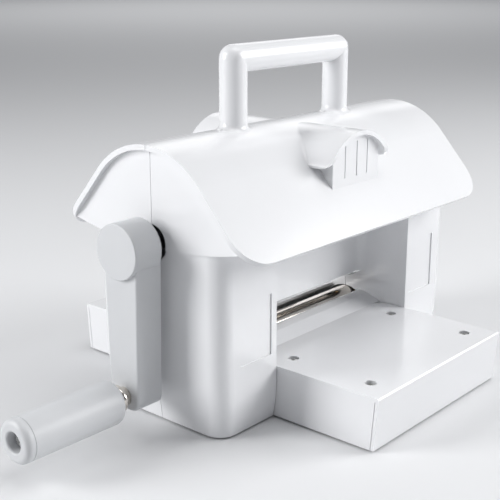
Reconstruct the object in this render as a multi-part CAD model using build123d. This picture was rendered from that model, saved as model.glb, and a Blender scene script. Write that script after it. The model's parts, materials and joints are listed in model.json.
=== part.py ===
from build123d import *
import math
import os

# Hand-cranked die cutting machine with a house-shaped body.
# X runs along the rollers with the crank at -X, the front is -Y, and the floor is z = 0.
# The body is the same in front and behind, so rear pieces are mirrored from the front ones.

# --- feed and rollers ---------------------------------------------------------------------
FEED_WIDTH = 156.0          # clear width between the two legs
NIP = 16.0                  # height between the rollers
ROLLER_R = 10.0
ROLLER_CLEARANCE = 1.2      # roller to the bridge wall, and roller to the leg's inner face
LOWER_AXIS_Z = 34.0
AXLE_R = 5.0
RUNNING_GAP = 0.05          # radial clearance of every shaft in its bush
THRUST_GAP = 0.3            # end play beside each bush

# --- gears --------------------------------------------------------------------------------
GEAR_MODULE = 1.5
SYNC_TEETH = 24
DRIVE_TEETH = 58
PINION_TEETH = 15
PRESSURE_ANGLE = math.radians(25)
ADDENDUM = 0.8              # in modules
DEDENDUM = 1.1
BACKLASH = 0.22             # taken off each tooth's thickness
DRIVE_FACE = 10.0           # gear widths
SYNC_FACE = 8.0

# --- legs and lower housing ---------------------------------------------------------------
WALL = 2.5
LEG_WIDTH = 55.1
LEG_HALF_DEPTH = 56.3
LEG_CORNER_R = 12.5
LEG_SIDE_BEND_Z = 62.0      # below this height the outer side curves inward
LEG_SIDE_BEND_R = 460.0
LEG_FRONT_BEND_Z = 25.0
LEG_FRONT_BEND_R = 105.0
LABEL_WIDTH = 30.5
LABEL_HEIGHT = 42.0
LABEL_DEPTH = 0.8
LABEL_EDGE = 5.2            # from the leg's inner edge
LABEL_Z = 48.2
BRIDGE_FILLET_R = 7.5
SEAM_Z = 121.0              # joint between legs and gables at the middle
SEAM_R = 310.0
GROOVE = 0.25               # half width of the fine line where two halves meet
GROOVE_DEPTH = 0.7
HUB_HOLE_R = 12.0

# --- feed bed -----------------------------------------------------------------------------
BED_HALF_DEPTH = 33.0
BED_WALL = 2.2
RAMP = 5.8                  # depth of the slope behind the lip
RAMP_Z = 42.1
LIP_GAP = 5.6               # lip's outer face to the roller, front to back
LIP_Z = 43.4
LOWER_END_HOLE_DROP = 10.0  # leg's hole round the lower roller's end is centred this far below it
LOWER_END_GAP = 0.3         # over the lower roller, in that hole
UPPER_END_GAP = 7.0         # round the upper roller's end

# --- tables -------------------------------------------------------------------------------
TABLE_GAP = 0.6
TABLE_Z = 37.7
TABLE_END_Y = 137.2
TABLE_DRAFT = 2.7           # how far the fascia leans in at its foot
TABLE_CORNER_R = 9.0
FASCIA = 2.2
FASCIA_GAP = 0.5
SCREW_X = 59.3
SCREW_YS = (55.9, 118.9)
COUNTERBORE_R = 4.0
COUNTERBORE_DEPTH = 3.2

# --- roof, dormers and carry handle -------------------------------------------------------
ROOF_OVERHANG = 5.1         # past the legs' outer faces
ROOF_CREST_R = 60.5
ROOF_CREST_Z = 127.2        # centre of the crest's curve
ROOF_PITCH = math.radians(48.3)
ROOF_EAVE_Y = 84.2
ROOF_SHEET = 3.5
ROOF_CORNER_R = 23.0
GABLE_SET_BACK = 3.9
SOFFIT = 2.5
DORMER_R = 40.0
DORMER_TOP_Z = 186.4
DORMER_HALF_WIDTH = 35.0
DORMER_SHEET = 3.0
DORMER_FRONT_Y = 65.5
DORMER_CORNER_R = 8.0
WINDOW_Y = 61.2
WINDOW_HALF_WIDTH = 26.5
WINDOW_BAR_PITCH = 12.8
WINDOW_BAR_Z = 155.0
WINDOW_BAR_HEIGHT = 24.0
WINDOW_BAR_WIDTH = 1.3
WINDOW_BAR_DEPTH = 0.5
HANDLE_X = 56.8
HANDLE_Z = 234.2
HANDLE_R = 9.5
HANDLE_WALL = 2.5
HANDLE_FILLET_R = 4.5

# --- base ---------------------------------------------------------------------------------
MAT = 1.5
BASE_PLATE = 3.0
EDGE_GAP = 0.6              # base plate to the shells round it
MAT_INSET = 1.5

# --- steel frame --------------------------------------------------------------------------
FRAME_GAP = 3.0             # leg's inner wall to the side frame
FRAME_SHEET = 4.0
FRAME_HALF_DEPTH = 46.0
FRAME_TOP_Z = 142.0
FRAME_CORNER_R = 6.0
FOOT_WIDTH = 12.0
BRACKET_SHEET = 3.0
BRACKET_FOOT_Z = 12.0
BRACKET_GAP = 7.0           # drive gear to the gear bracket
STANDOFF_R = 4.0
STANDOFF_Y = 38.0
STANDOFF_ZS = (20.0, 132.0)
TIE_ROD_R = 4.0
TIE_ROD_THREAD_R = 2.5
TIE_NUT_R = 4.6             # across the nut's corners, halved
UPPER_TIE = (22.0, 134.0)   # y and z
LOWER_TIE = (16.0, 13.6)
BUSH_WALL = 2.0
BUSH_FLANGE_R = 9.0
BUSH_FLANGE = 1.5
RING = 1.2                  # retaining ring thickness
RING_RIM = 2.4              # how far a ring stands out of its groove
RING_GROOVE = 0.8

# --- crank --------------------------------------------------------------------------------
CRANK_SHAFT_R = 6.0
CRANK_SQUARE = 8.0
HUB_R = 18.0
HUB_CAP = 2.9
ARM_GAP = 8.7               # arm's inner face to the leg
ARM_THICKNESS = 20.5
HUB_STEP = 1.7              # hub's inner face is set in from the arm's
SQUARE_DEPTH = 11.5         # how far the shaft's square sits in the hub
ARM_TOP_WIDTH = 30.5
ARM_TIP_WIDTH = 25.3
ARM_TIP_Z = 19.7
ARM_TIP_R = 7.0
ARM_EDGE_R = 1.6
CRANK_THROW = 96.25
GRIP_GAP = 10.3             # grip to the arm
GRIP_LENGTH = 76.2
GRIP_INNER_R = 14.75
GRIP_OUTER_R = 14.15
GRIP_END_R = 3.8
GRIP_RECESS_R = 6.5
GRIP_RECESS_DEPTH = 8.8
GRIP_GROOVE_FROM_END = 6.0
SPINDLE_R = 5.0
SPINDLE_DEPTH = 15.0        # how far the spindle sits in the arm
COLLAR_R = 9.3
NECK_R = 6.4
COLLAR = 4.5
COLLAR_GAP = 4.0            # collar to the arm
COLLAR_EDGE_R = 1.8

# --- fasteners ----------------------------------------------------------------------------
SCREW_R = 1.5
HEAD_R = 3.0
HEAD = 2.0
BOSS_R = 5.0
FRAME_SCREW_R = 2.0
HOUSING_SCREW_Z = 104.0
HOUSING_SCREW_XS = (-52.0, 0.0, 52.0)
ROOF_BOSS_Z = 112.0
ROOF_SCREW_LENGTH = 22.0
BASE_SCREW_LENGTH = 10.0
BASE_BOSS_HEIGHT = 12.0
RIB = 2.4

# --- worked out from the above ------------------------------------------------------------
LEG_IN_X = FEED_WIDTH / 2
LEG_OUT_X = LEG_IN_X + LEG_WIDTH
LOWER_END_HOLE_R = ROLLER_R + LOWER_END_HOLE_DROP + LOWER_END_GAP
UPPER_END_HOLE_R = ROLLER_R + UPPER_END_GAP
LIP_Y = ROLLER_R + LIP_GAP
RAMP_Y = LIP_Y + RAMP
ARM_BACK_X = -(LEG_OUT_X + ARM_GAP)
HUB_BACK_X = ARM_BACK_X - HUB_STEP
HUB_FACE_X = ARM_BACK_X - ARM_THICKNESS
GRIP_INNER_X = HUB_FACE_X - GRIP_GAP
UPPER_AXIS_Z = LOWER_AXIS_Z + 2 * ROLLER_R + NIP
CRANK_Z = UPPER_AXIS_Z + GEAR_MODULE * (DRIVE_TEETH + PINION_TEETH) / 2
GRIP_Z = CRANK_Z - CRANK_THROW
BRIDGE_HALF_DEPTH = ROLLER_R + ROLLER_CLEARANCE + WALL
BRIDGE_Z = UPPER_AXIS_Z - ROLLER_R
HOUSING_HEAD_Y = BRIDGE_HALF_DEPTH - 4.0
FRAME_IN_X = LEG_IN_X + WALL + FRAME_GAP
FRAME_OUT_X = FRAME_IN_X + FRAME_SHEET
BUSH_FACE_X = FRAME_IN_X - BUSH_FLANGE
BUSH_END_X = FRAME_OUT_X + 0.5
ROLLER_END_X = LEG_IN_X + WALL - 0.5
GEAR_HUB_X = BUSH_END_X + THRUST_GAP
LOWER_LEFT_END_X = GEAR_HUB_X + RING + 1.0
DRIVE_X = LOWER_LEFT_END_X + 1.5
DRIVE_END_X = DRIVE_X + DRIVE_FACE
BRACKET_X = DRIVE_END_X + BRACKET_GAP
BRACKET_END_X = BRACKET_X + BRACKET_SHEET
SYNC_X = GEAR_HUB_X + 1.3
SYNC_END_X = SYNC_X + SYNC_FACE
FLOOR_Z = MAT + BASE_PLATE
TABLE_HALF_WIDTH = LEG_IN_X - TABLE_GAP
ROOF_HALF_LENGTH = LEG_OUT_X + ROOF_OVERHANG
GABLE_X = ROOF_HALF_LENGTH - GABLE_SET_BACK
PITCH_Y = ROOF_CREST_R * math.sin(ROOF_PITCH)
PITCH_Z = ROOF_CREST_Z + ROOF_CREST_R * math.cos(ROOF_PITCH)
SLOPE = (ROOF_EAVE_Y - PITCH_Y) / math.cos(ROOF_PITCH)
FAR = 400.0
SIDES = (-1, 1)


# --- small helpers ------------------------------------------------------------------------
def block(x0, x1, y0, y1, z0, z1):
    """Box between two corners."""
    centre = Pos((x0 + x1) / 2, (y0 + y1) / 2, (z0 + z1) / 2)
    return centre * Box(abs(x1 - x0), abs(y1 - y0), abs(z1 - z0))


def rod_x(x0, x1, radius, y=0.0, z=0.0):
    """Round bar along X."""
    return Pos((x0 + x1) / 2, y, z) * Rot(0, 90, 0) * Cylinder(radius, abs(x1 - x0))


def rod_y(y0, y1, radius, x=0.0, z=0.0):
    """Round bar along Y."""
    return Pos(x, (y0 + y1) / 2, z) * Rot(90, 0, 0) * Cylinder(radius, abs(y1 - y0))


def rod_z(z0, z1, radius, x=0.0, y=0.0):
    """Round bar along Z."""
    return Pos(x, y, (z0 + z1) / 2) * Cylinder(radius, abs(z1 - z0))


def along_x(face, x0, x1):
    """Push a sketch drawn in (y, z) along X."""
    return extrude(Plane.YZ.offset(min(x0, x1)) * face, abs(x1 - x0), dir=(1, 0, 0))


def along_y(face, half):
    """Push a sketch drawn in (x, z) to both sides of y = 0."""
    return extrude(Plane.XZ * face, half, both=True)


def outline(*edges):
    """Face inside a closed run of edges."""
    return Face(Wire(edges))


def joined(shapes):
    """One shape out of many."""
    shapes = list(shapes)
    return shapes[0] + shapes[1:] if len(shapes) > 1 else shapes[0]


def rear_of(shape):
    """The same piece on the other side of y = 0."""
    return mirror(shape, about=Plane.XZ)


def right_of(shape):
    """The same piece on the other side of x = 0."""
    return mirror(shape, about=Plane.YZ)


def front_half(shape):
    return shape & block(-FAR, FAR, -FAR, 0, -FAR, FAR)


def rounded_plate(half_x, half_y, radius, z0, z1):
    """Flat plate with rounded corners, centred on the Z axis."""
    return Pos(0, 0, z0) * extrude(RectangleRounded(2 * half_x, 2 * half_y, radius), z1 - z0)


def screw_z(z_head, length, x, y, down=True, radius=SCREW_R, head_r=HEAD_R, head=HEAD):
    """Pan-head screw along Z; z_head is where the head seats."""
    sign = 1 if down else -1
    shank = rod_z(z_head, z_head - sign * length, radius, x, y)
    top = rod_z(z_head, z_head + sign * head, head_r, x, y)
    socket = rod_z(z_head + sign * head, z_head + sign * head / 2, head_r * 0.45, x, y)
    return shank + top - socket


# --- gears --------------------------------------------------------------------------------
def involute(angle):
    return math.tan(angle) - angle


def gear_outline(teeth, first_tooth):
    """Spur gear with its first tooth centred on the given direction, in degrees."""
    pitch_r = GEAR_MODULE * teeth / 2
    base_r = pitch_r * math.cos(PRESSURE_ANGLE)
    tip_r = pitch_r + ADDENDUM * GEAR_MODULE
    root_r = pitch_r - DEDENDUM * GEAR_MODULE
    half_tooth = math.pi / (2 * teeth) - BACKLASH / (2 * pitch_r)

    def half_angle(radius):
        lean = involute(math.acos(min(1.0, base_r / radius)))
        return half_tooth + involute(PRESSURE_ANGLE) - lean

    def at(radius, angle):
        return (radius * math.cos(angle), radius * math.sin(angle))

    flank_r = max(root_r, base_r)
    middle_r = (flank_r + tip_r) / 2
    edges = []
    for tooth in range(teeth):
        here = math.radians(first_tooth) + 2 * math.pi * tooth / teeth
        after = here + 2 * math.pi / teeth
        foot = half_angle(flank_r)
        if root_r < flank_r:
            edges.append(Line(at(root_r, here - foot), at(flank_r, here - foot)))
        rising = [at(r, here - half_angle(r)) for r in (flank_r, middle_r, tip_r)]
        falling = [at(r, here + half_angle(r)) for r in (tip_r, middle_r, flank_r)]
        edges.append(ThreePointArc(*rising))
        edges.append(ThreePointArc(rising[-1], at(tip_r, here), falling[0]))
        edges.append(ThreePointArc(*falling))
        if root_r < flank_r:
            edges.append(Line(at(flank_r, here + foot), at(root_r, here + foot)))
        root = [at(root_r, a) for a in (here + foot, (here + after) / 2, after - foot)]
        edges.append(ThreePointArc(*root))
    return outline(*edges)


def gear(teeth, first_tooth, x0, x1, z, hub_x0, hub_x1, hub_r, bore_r):
    """Spur gear on an axis along X, with a hub boss and a bore."""
    ring = Pos(0, 0, z) * along_x(gear_outline(teeth, first_tooth), x0, x1)
    hub = rod_x(hub_x0, hub_x1, hub_r, z=z)
    bore = rod_x(hub_x0 - FAR, hub_x1 + FAR, bore_r, z=z)
    return ring + hub - bore


# --- lower housing ------------------------------------------------------------------------
def leg_block(inset):
    """Right leg as a solid, shrunk all round by inset and longer than it needs to be."""
    bend_x = LEG_OUT_X - LEG_SIDE_BEND_R
    side_r = LEG_SIDE_BEND_R - inset
    bend_y = LEG_HALF_DEPTH - LEG_FRONT_BEND_R
    front_r = LEG_FRONT_BEND_R - inset
    low = -5.0
    high = SEAM_Z + 40

    def side_at(z):
        return bend_x + math.sqrt(side_r ** 2 - (LEG_SIDE_BEND_Z - z) ** 2)

    def front_at(z):
        return bend_y + math.sqrt(front_r ** 2 - (LEG_FRONT_BEND_Z - z) ** 2)

    x_in = LEG_IN_X + inset
    x_out = LEG_OUT_X - inset
    middle = (low + LEG_SIDE_BEND_Z) / 2
    side = outline(
        Line((x_in, low), (x_in, high)),
        Line((x_in, high), (x_out, high)),
        Line((x_out, high), (x_out, LEG_SIDE_BEND_Z)),
        ThreePointArc((x_out, LEG_SIDE_BEND_Z), (side_at(middle), middle), (side_at(low), low)),
        Line((side_at(low), low), (x_in, low)),
    )
    y_out = LEG_HALF_DEPTH - inset
    middle = (low + LEG_FRONT_BEND_Z) / 2
    depth = outline(
        Line((-y_out, high), (y_out, high)),
        Line((y_out, high), (y_out, LEG_FRONT_BEND_Z)),
        ThreePointArc((y_out, LEG_FRONT_BEND_Z), (front_at(middle), middle), (front_at(low), low)),
        Line((front_at(low), low), (-front_at(low), low)),
        ThreePointArc((-front_at(low), low), (-front_at(middle), middle), (-y_out, LEG_FRONT_BEND_Z)),
        Line((-y_out, LEG_FRONT_BEND_Z), (-y_out, high)),
    )
    solid = along_y(side, FAR) & along_x(depth, 0, FAR)
    near_x = x_out - LEG_CORNER_R
    near_y = y_out - LEG_CORNER_R

    def is_corner(edge):
        mid = edge @ 0.5
        return mid.X > near_x and abs(mid.Y) > near_y and low + 1 < mid.Z < high - 1

    return fillet(solid.edges().filter_by(is_corner), LEG_CORNER_R - inset)


def below_seam(shape):
    """Keep what lies under the curved joint between the legs and the roof."""
    return shape - rod_x(-FAR, FAR, SEAM_R, z=SEAM_Z + SEAM_R)


def bed_outline(inset, top):
    """Half section of the raised bed round the lower roller, in (y, z)."""
    points = [
        (0, MAT - inset * 2),
        (-BED_HALF_DEPTH + inset, MAT - inset * 2),
        (-BED_HALF_DEPTH + inset, TABLE_Z - inset * 0.9),
        (-RAMP_Y, RAMP_Z - inset),
        (-LIP_Y + inset, LIP_Z - inset),
        (-LIP_Y + inset, top),
        (0, top),
    ]
    return outline(*[Line(a, b) for a, b in zip(points, points[1:] + points[:1]) if a != b])


def bridge_corner(side):
    """Concave blend between the bridge wall and a leg's inner face."""
    radius = BRIDGE_FILLET_R
    x = side * (LEG_IN_X - radius)
    y = -BRIDGE_HALF_DEPTH - radius
    fill = block(x, side * (LEG_IN_X + WALL), y, -BRIDGE_HALF_DEPTH + WALL, BRIDGE_Z, SEAM_Z + 20)
    return fill - rod_z(BRIDGE_Z - 1, SEAM_Z + 21, radius, x, y)


def bed_corner(side):
    """Low fill behind each rounded rear corner of the table."""
    radius = TABLE_CORNER_R + TABLE_GAP
    x = side * (LEG_IN_X - radius)
    y = -BED_HALF_DEPTH - radius
    fill = block(x, side * (LEG_IN_X + WALL), y, -BED_HALF_DEPTH + BED_WALL, MAT, TABLE_Z - WALL)
    return fill - rod_z(MAT - 1, TABLE_Z, radius, x, y)


def base_boss_places():
    """Where screws come up through the base plate into the housing's front half."""
    leg = [(side * (LEG_OUT_X - 14.5), -37.0) for side in SIDES]
    bed = [(side * 60.0, -BED_HALF_DEPTH + BED_WALL + BOSS_R - 1) for side in SIDES]
    return leg + bed


def roof_boss_places():
    """Where screws go up from the legs into the roof, in all four corners."""
    x = LEG_OUT_X - WALL - 6.1
    y = LEG_HALF_DEPTH - WALL - 6.3
    return [(sx * x, sy * y) for sx in SIDES for sy in SIDES]


def lower_housing_front():
    leg = leg_block(0) - leg_block(WALL)
    fine_line = block(0, FAR, -GROOVE, 0, -FAR, FAR) & (leg_block(0) - leg_block(GROOVE_DEPTH))
    leg = leg - fine_line
    label_x = LEG_IN_X + LABEL_EDGE
    label = block(label_x, label_x + LABEL_WIDTH, -LEG_HALF_DEPTH - 1, -LEG_HALF_DEPTH + LABEL_DEPTH,
                  LABEL_Z, LABEL_Z + LABEL_HEIGHT)
    leg = leg - label
    shell = leg + right_of(leg)
    reach = LEG_IN_X + WALL
    wall = block(-reach, reach, -BRIDGE_HALF_DEPTH, -BRIDGE_HALF_DEPTH + WALL, BRIDGE_Z, SEAM_Z + 20)
    shell = shell + [wall] + [bridge_corner(side) for side in SIDES]
    bed = along_x(bed_outline(0, LIP_Z), -LEG_IN_X, LEG_IN_X)
    bed = bed - along_x(bed_outline(BED_WALL, LIP_Z + 10), -LEG_IN_X, LEG_IN_X)
    shell = shell + [bed] + [bed_corner(side) for side in SIDES]
    for x in HOUSING_SCREW_XS:
        shell = shell + rod_y(-BRIDGE_HALF_DEPTH + WALL / 2, 0, BOSS_R, x, HOUSING_SCREW_Z)
    outer = leg_block(0)
    for x, y in base_boss_places():
        shell = shell + rod_z(FLOOR_Z, FLOOR_Z + BASE_BOSS_HEIGHT, BOSS_R, x, y)
        if abs(x) > LEG_IN_X:
            rib = block(x, x + math.copysign(LEG_CORNER_R, x), y - RIB / 2, y + RIB / 2,
                        FLOOR_Z, FLOOR_Z + BASE_BOSS_HEIGHT)
            shell = shell + (rib & (outer + right_of(outer)))
        shell = shell - rod_z(FLOOR_Z, FLOOR_Z + BASE_SCREW_LENGTH, SCREW_R, x, y)
    for x, y in roof_boss_places():
        if y < 0:
            post = rod_z(ROOF_BOSS_Z, SEAM_Z + 20, BOSS_R, x, y)
            shell = shell + (post & (outer + right_of(outer)))
            shell = shell - rod_z(ROOF_BOSS_Z - 1, FAR, SCREW_R + 0.2, x, y)
    shell = below_seam(front_half(shell)) & block(-FAR, FAR, -FAR, 0, MAT, FAR)
    upper_hole = rod_x(LEG_IN_X - 1, LEG_IN_X + WALL + 1, UPPER_END_HOLE_R, z=UPPER_AXIS_Z)
    lower_hole = rod_x(LEG_IN_X - 1, LEG_IN_X + WALL + 1, LOWER_END_HOLE_R,
                       z=LOWER_AXIS_Z - LOWER_END_HOLE_DROP)
    crank_hole = rod_x(-FAR, -LEG_OUT_X + WALL + 2, HUB_HOLE_R, z=CRANK_Z)
    for hole in (upper_hole, right_of(upper_hole), lower_hole, right_of(lower_hole), crank_hole):
        shell = shell - hole
    reach = LEG_IN_X + WALL + 1
    return shell - rod_x(-reach, reach, TIE_ROD_R + 0.5, -LOWER_TIE[0], LOWER_TIE[1])


def housing_screw_holes(housing_front, housing_rear):
    """Blind holes in the front bosses; through holes with head recesses in the rear ones."""
    for x in HOUSING_SCREW_XS:
        housing_front = housing_front - rod_y(-BRIDGE_HALF_DEPTH + WALL, 0, SCREW_R, x, HOUSING_SCREW_Z)
        housing_rear = housing_rear - rod_y(0, FAR, SCREW_R + 0.2, x, HOUSING_SCREW_Z)
        recess = rod_y(HOUSING_HEAD_Y, FAR, HEAD_R + 0.5, x, HOUSING_SCREW_Z)
        housing_rear = housing_rear - recess
    return housing_front, housing_rear


def housing_screws():
    screws = []
    for x in HOUSING_SCREW_XS:
        shank = rod_y(HOUSING_HEAD_Y, -BRIDGE_HALF_DEPTH + WALL + 1, SCREW_R, x, HOUSING_SCREW_Z)
        head = rod_y(HOUSING_HEAD_Y, HOUSING_HEAD_Y + HEAD, HEAD_R, x, HOUSING_SCREW_Z)
        socket = rod_y(HOUSING_HEAD_Y + HEAD / 2, HOUSING_HEAD_Y + HEAD, HEAD_R * 0.45, x, HOUSING_SCREW_Z)
        screws.append(shank + head - socket)
    return screws


# --- tables -------------------------------------------------------------------------------
def fascia_y(z):
    """Outer face of the front fascia at a height."""
    return -TABLE_END_Y + TABLE_DRAFT * (TABLE_Z - z) / (TABLE_Z - MAT)


def leaning_slab(y_offset_0, y_offset_1, half_width, z0, z1):
    """Plate that leans like the fascia, between two distances behind its outer face."""
    corners = [(fascia_y(z0) + y_offset_0, z0), (fascia_y(z1) + y_offset_0, z1),
               (fascia_y(z1) + y_offset_1, z1), (fascia_y(z0) + y_offset_1, z0)]
    face = outline(*[Line(a, b) for a, b in zip(corners, corners[1:] + corners[:1])])
    return along_x(face, -half_width, half_width)


def table_cover():
    half = TABLE_HALF_WIDTH
    inner_depth = TABLE_END_Y - BED_HALF_DEPTH
    cover = leaning_slab(FASCIA, inner_depth + TABLE_END_Y, half, MAT, TABLE_Z)
    cover = cover & block(-half, half, -FAR, -BED_HALF_DEPTH, MAT, TABLE_Z)
    rear_corners = cover.edges().filter_by(Axis.Z).filter_by(lambda e: e.center().Y > -BED_HALF_DEPTH - 1)
    cover = fillet(rear_corners, TABLE_CORNER_R)
    hollow = block(-half + WALL, half - WALL, -FAR, -BED_HALF_DEPTH - WALL, -1, TABLE_Z - WALL)
    inner = hollow.edges().filter_by(Axis.Z).filter_by(lambda e: e.center().Y > -BED_HALF_DEPTH - 10)
    hollow = fillet(inner, TABLE_CORNER_R - WALL)
    cover = cover - hollow
    gap = leaning_slab(FASCIA - 1, FASCIA + FASCIA_GAP, half + 1, -1, TABLE_Z - WALL)
    cover = cover - gap
    for x in (-SCREW_X, SCREW_X):
        for y in SCREW_YS:
            cover = cover + rod_z(FLOOR_Z, TABLE_Z - WALL / 2, COUNTERBORE_R + 1.6, x, -y)
            cover = cover - rod_z(0, FAR, SCREW_R + 0.2, x, -y)
            cover = cover - rod_z(TABLE_Z - COUNTERBORE_DEPTH, FAR, COUNTERBORE_R, x, -y)
    return cover


def table_fascia():
    plate = leaning_slab(0, FASCIA, TABLE_HALF_WIDTH, MAT + 0.2, TABLE_Z)
    top_edge = plate.edges().filter_by(Axis.X).sort_by(Axis.Z)[-2:].sort_by(Axis.Y)[0]
    plate = chamfer(top_edge, 0.9)
    inside = TABLE_HALF_WIDTH - WALL - 0.2
    tab = leaning_slab(FASCIA - 0.5, FASCIA + 8, inside, TABLE_Z - WALL - 2, TABLE_Z - WALL)
    window = leaning_slab(FASCIA, FASCIA + 20, inside - 12, TABLE_Z - WALL - 5, TABLE_Z - WALL + 1)
    return plate + (tab - window)


def table_screws():
    return [screw_z(TABLE_Z - COUNTERBORE_DEPTH, TABLE_Z - COUNTERBORE_DEPTH - MAT - 0.2, x, -y)
            for x in (-SCREW_X, SCREW_X) for y in SCREW_YS]


# --- base ---------------------------------------------------------------------------------
def base_shape(inset, z0, z1):
    """Cross-shaped plate under the legs, the bed and both tables."""
    bend_x = LEG_OUT_X - LEG_SIDE_BEND_R
    leg_x = bend_x + math.sqrt(LEG_SIDE_BEND_R ** 2 - (LEG_SIDE_BEND_Z - MAT) ** 2)
    bend_y = LEG_HALF_DEPTH - LEG_FRONT_BEND_R
    leg_y = bend_y + math.sqrt(LEG_FRONT_BEND_R ** 2 - (LEG_FRONT_BEND_Z - MAT) ** 2)
    radius = LEG_CORNER_R - WALL
    across = rounded_plate(leg_x - WALL - inset, leg_y - WALL - inset, radius, z0, z1)
    table_y = -fascia_y(MAT) - FASCIA - FASCIA_GAP
    along = rounded_plate(TABLE_HALF_WIDTH - WALL - inset, table_y - inset, 3, z0, z1)
    return across + along


def base_screw_places():
    front = base_boss_places()
    return front + [(x, -y) for x, y in front]


def frame_foot_places():
    """Screws through the side frames' feet, at the left and the right."""
    x = FRAME_OUT_X + FOOT_WIDTH / 2
    return [(sx * x, sy * (FRAME_HALF_DEPTH - 12)) for sx in SIDES for sy in SIDES]


def base_plate():
    plate = base_shape(EDGE_GAP, MAT, FLOOR_Z)
    for x, y in base_screw_places():
        plate = plate - rod_z(0, FAR, SCREW_R + 0.2, x, y)
        plate = plate - rod_z(0, MAT + HEAD - 0.2, HEAD_R + 0.3, x, y)
    for x in (-SCREW_X, SCREW_X):
        for y in SCREW_YS:
            for side in SIDES:
                plate = plate - rod_z(0, FAR, SCREW_R, x, side * y)
    for x, y in frame_foot_places():
        plate = plate - rod_z(0, FAR, FRAME_SCREW_R, x, y)
    return plate


def base_mat():
    return base_shape(EDGE_GAP + MAT_INSET, 0, MAT)


def base_screws():
    length = BASE_SCREW_LENGTH
    return [screw_z(MAT + HEAD - 0.2, length, x, y, down=False, head=HEAD - 0.4) for x, y in base_screw_places()]


def frame_foot_screws():
    z = FLOOR_Z + FRAME_SHEET
    return [screw_z(z, z - MAT - 0.2, x, y, radius=FRAME_SCREW_R, head_r=3.6) for x, y in frame_foot_places()]


def over_base(shape):
    """Clear the space that the base plate takes."""
    return shape - base_shape(0, -1, FLOOR_Z)


# --- roof ---------------------------------------------------------------------------------
def under_roof(inset):
    """Everything below the roof's surface, shrunk by inset."""
    radius = ROOF_CREST_R - inset
    y0 = radius * math.sin(ROOF_PITCH)
    z0 = ROOF_CREST_Z + radius * math.cos(ROOF_PITCH)
    run = (SLOPE + 30) * math.cos(ROOF_PITCH)
    drop = (SLOPE + 30) * math.sin(ROOF_PITCH)
    face = outline(
        Line((-y0 - run, z0 - drop), (-y0, z0)),
        ThreePointArc((-y0, z0), (0, ROOF_CREST_Z + radius), (y0, z0)),
        Line((y0, z0), (y0 + run, z0 - drop)),
        Line((y0 + run, z0 - drop), (-y0 - run, z0 - drop)),
    )
    return along_x(face, -FAR, FAR)


def roof_plan(half_x, inset):
    """Rounded outline of the roof, seen square to each slope."""
    normal = (0, -math.sin(ROOF_PITCH), math.cos(ROOF_PITCH))
    slope_plane = Plane(origin=(0, -PITCH_Y, PITCH_Z), x_dir=(1, 0, 0), z_dir=normal)
    low = -SLOPE + inset
    radius = ROOF_CORNER_R - inset
    face = outline(
        Line((-half_x, FAR), (-half_x, low + radius)),
        ThreePointArc((-half_x, low + radius),
                      (-half_x + radius * (1 - math.sqrt(0.5)), low + radius * (1 - math.sqrt(0.5))),
                      (-half_x + radius, low)),
        Line((-half_x + radius, low), (half_x - radius, low)),
        ThreePointArc((half_x - radius, low),
                      (half_x - radius * (1 - math.sqrt(0.5)), low + radius * (1 - math.sqrt(0.5))),
                      (half_x, low + radius)),
        Line((half_x, low + radius), (half_x, FAR)),
        Line((half_x, FAR), (-half_x, FAR)),
    )
    front = extrude(slope_plane * face, FAR / 2, both=True)
    return front & rear_of(front)


def above_seam(lift):
    return rod_x(-FAR, FAR, SEAM_R - lift, z=SEAM_Z + SEAM_R)


def dormer_hood():
    """Arched sheet over the front window, with rounded front corners."""
    axis_z = DORMER_TOP_Z - DORMER_R
    tip_z = axis_z + math.sqrt(DORMER_R ** 2 - DORMER_HALF_WIDTH ** 2)
    hood = rod_y(-DORMER_FRONT_Y, 0, DORMER_R, z=axis_z) - rod_y(-FAR, 1, DORMER_R - DORMER_SHEET, z=axis_z)
    low = tip_z - DORMER_SHEET / 2
    front = -DORMER_FRONT_Y
    radius = DORMER_CORNER_R
    bend = radius * (1 - math.sqrt(0.5))
    face = outline(
        Line((0, low), (front + radius, low)),
        ThreePointArc((front + radius, low), (front + bend, low + bend), (front, low + radius)),
        Line((front, low + radius), (front, FAR)),
        Line((front, FAR), (0, FAR)),
        Line((0, FAR), (0, low)),
    )
    return hood & along_x(face, -DORMER_HALF_WIDTH, DORMER_HALF_WIDTH)


def dormer_body(inset):
    """Window block under the hood, shrunk by inset."""
    half = WINDOW_HALF_WIDTH - inset
    body = block(-half, half, -WINDOW_Y + inset, 0, SEAM_Z + 15, FAR)
    arch_r = DORMER_R - DORMER_SHEET / 2 - inset * 1.2
    return body & rod_y(-FAR, 1, arch_r, z=DORMER_TOP_Z - DORMER_R)


def handle_bar(radius):
    """Carry handle: two posts and a grip bar with ball corners."""
    posts = [rod_z(SEAM_Z + 30, HANDLE_Z, radius, side * HANDLE_X) for side in SIDES]
    corners = [Pos(side * HANDLE_X, 0, HANDLE_Z) * Sphere(radius) for side in SIDES]
    return joined(posts + corners + [rod_x(-HANDLE_X, HANDLE_X, radius, z=HANDLE_Z)])


def window_grooves():
    cuts = []
    for step in (-1, 0, 1):
        half = WINDOW_BAR_WIDTH / 2 * (2 if step == 0 else 1)
        x = step * WINDOW_BAR_PITCH
        cuts.append(block(x - half, x + half, -WINDOW_Y - 5, -WINDOW_Y + WINDOW_BAR_DEPTH,
                          WINDOW_BAR_Z, WINDOW_BAR_Z + WINDOW_BAR_HEIGHT))
    return cuts


def leg_opening():
    """Space inside a leg, carried up through the soffit."""
    return leg_block(WALL) & block(-FAR, FAR, -FAR, FAR, SEAM_Z - 5, SEAM_Z + 15)


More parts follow.
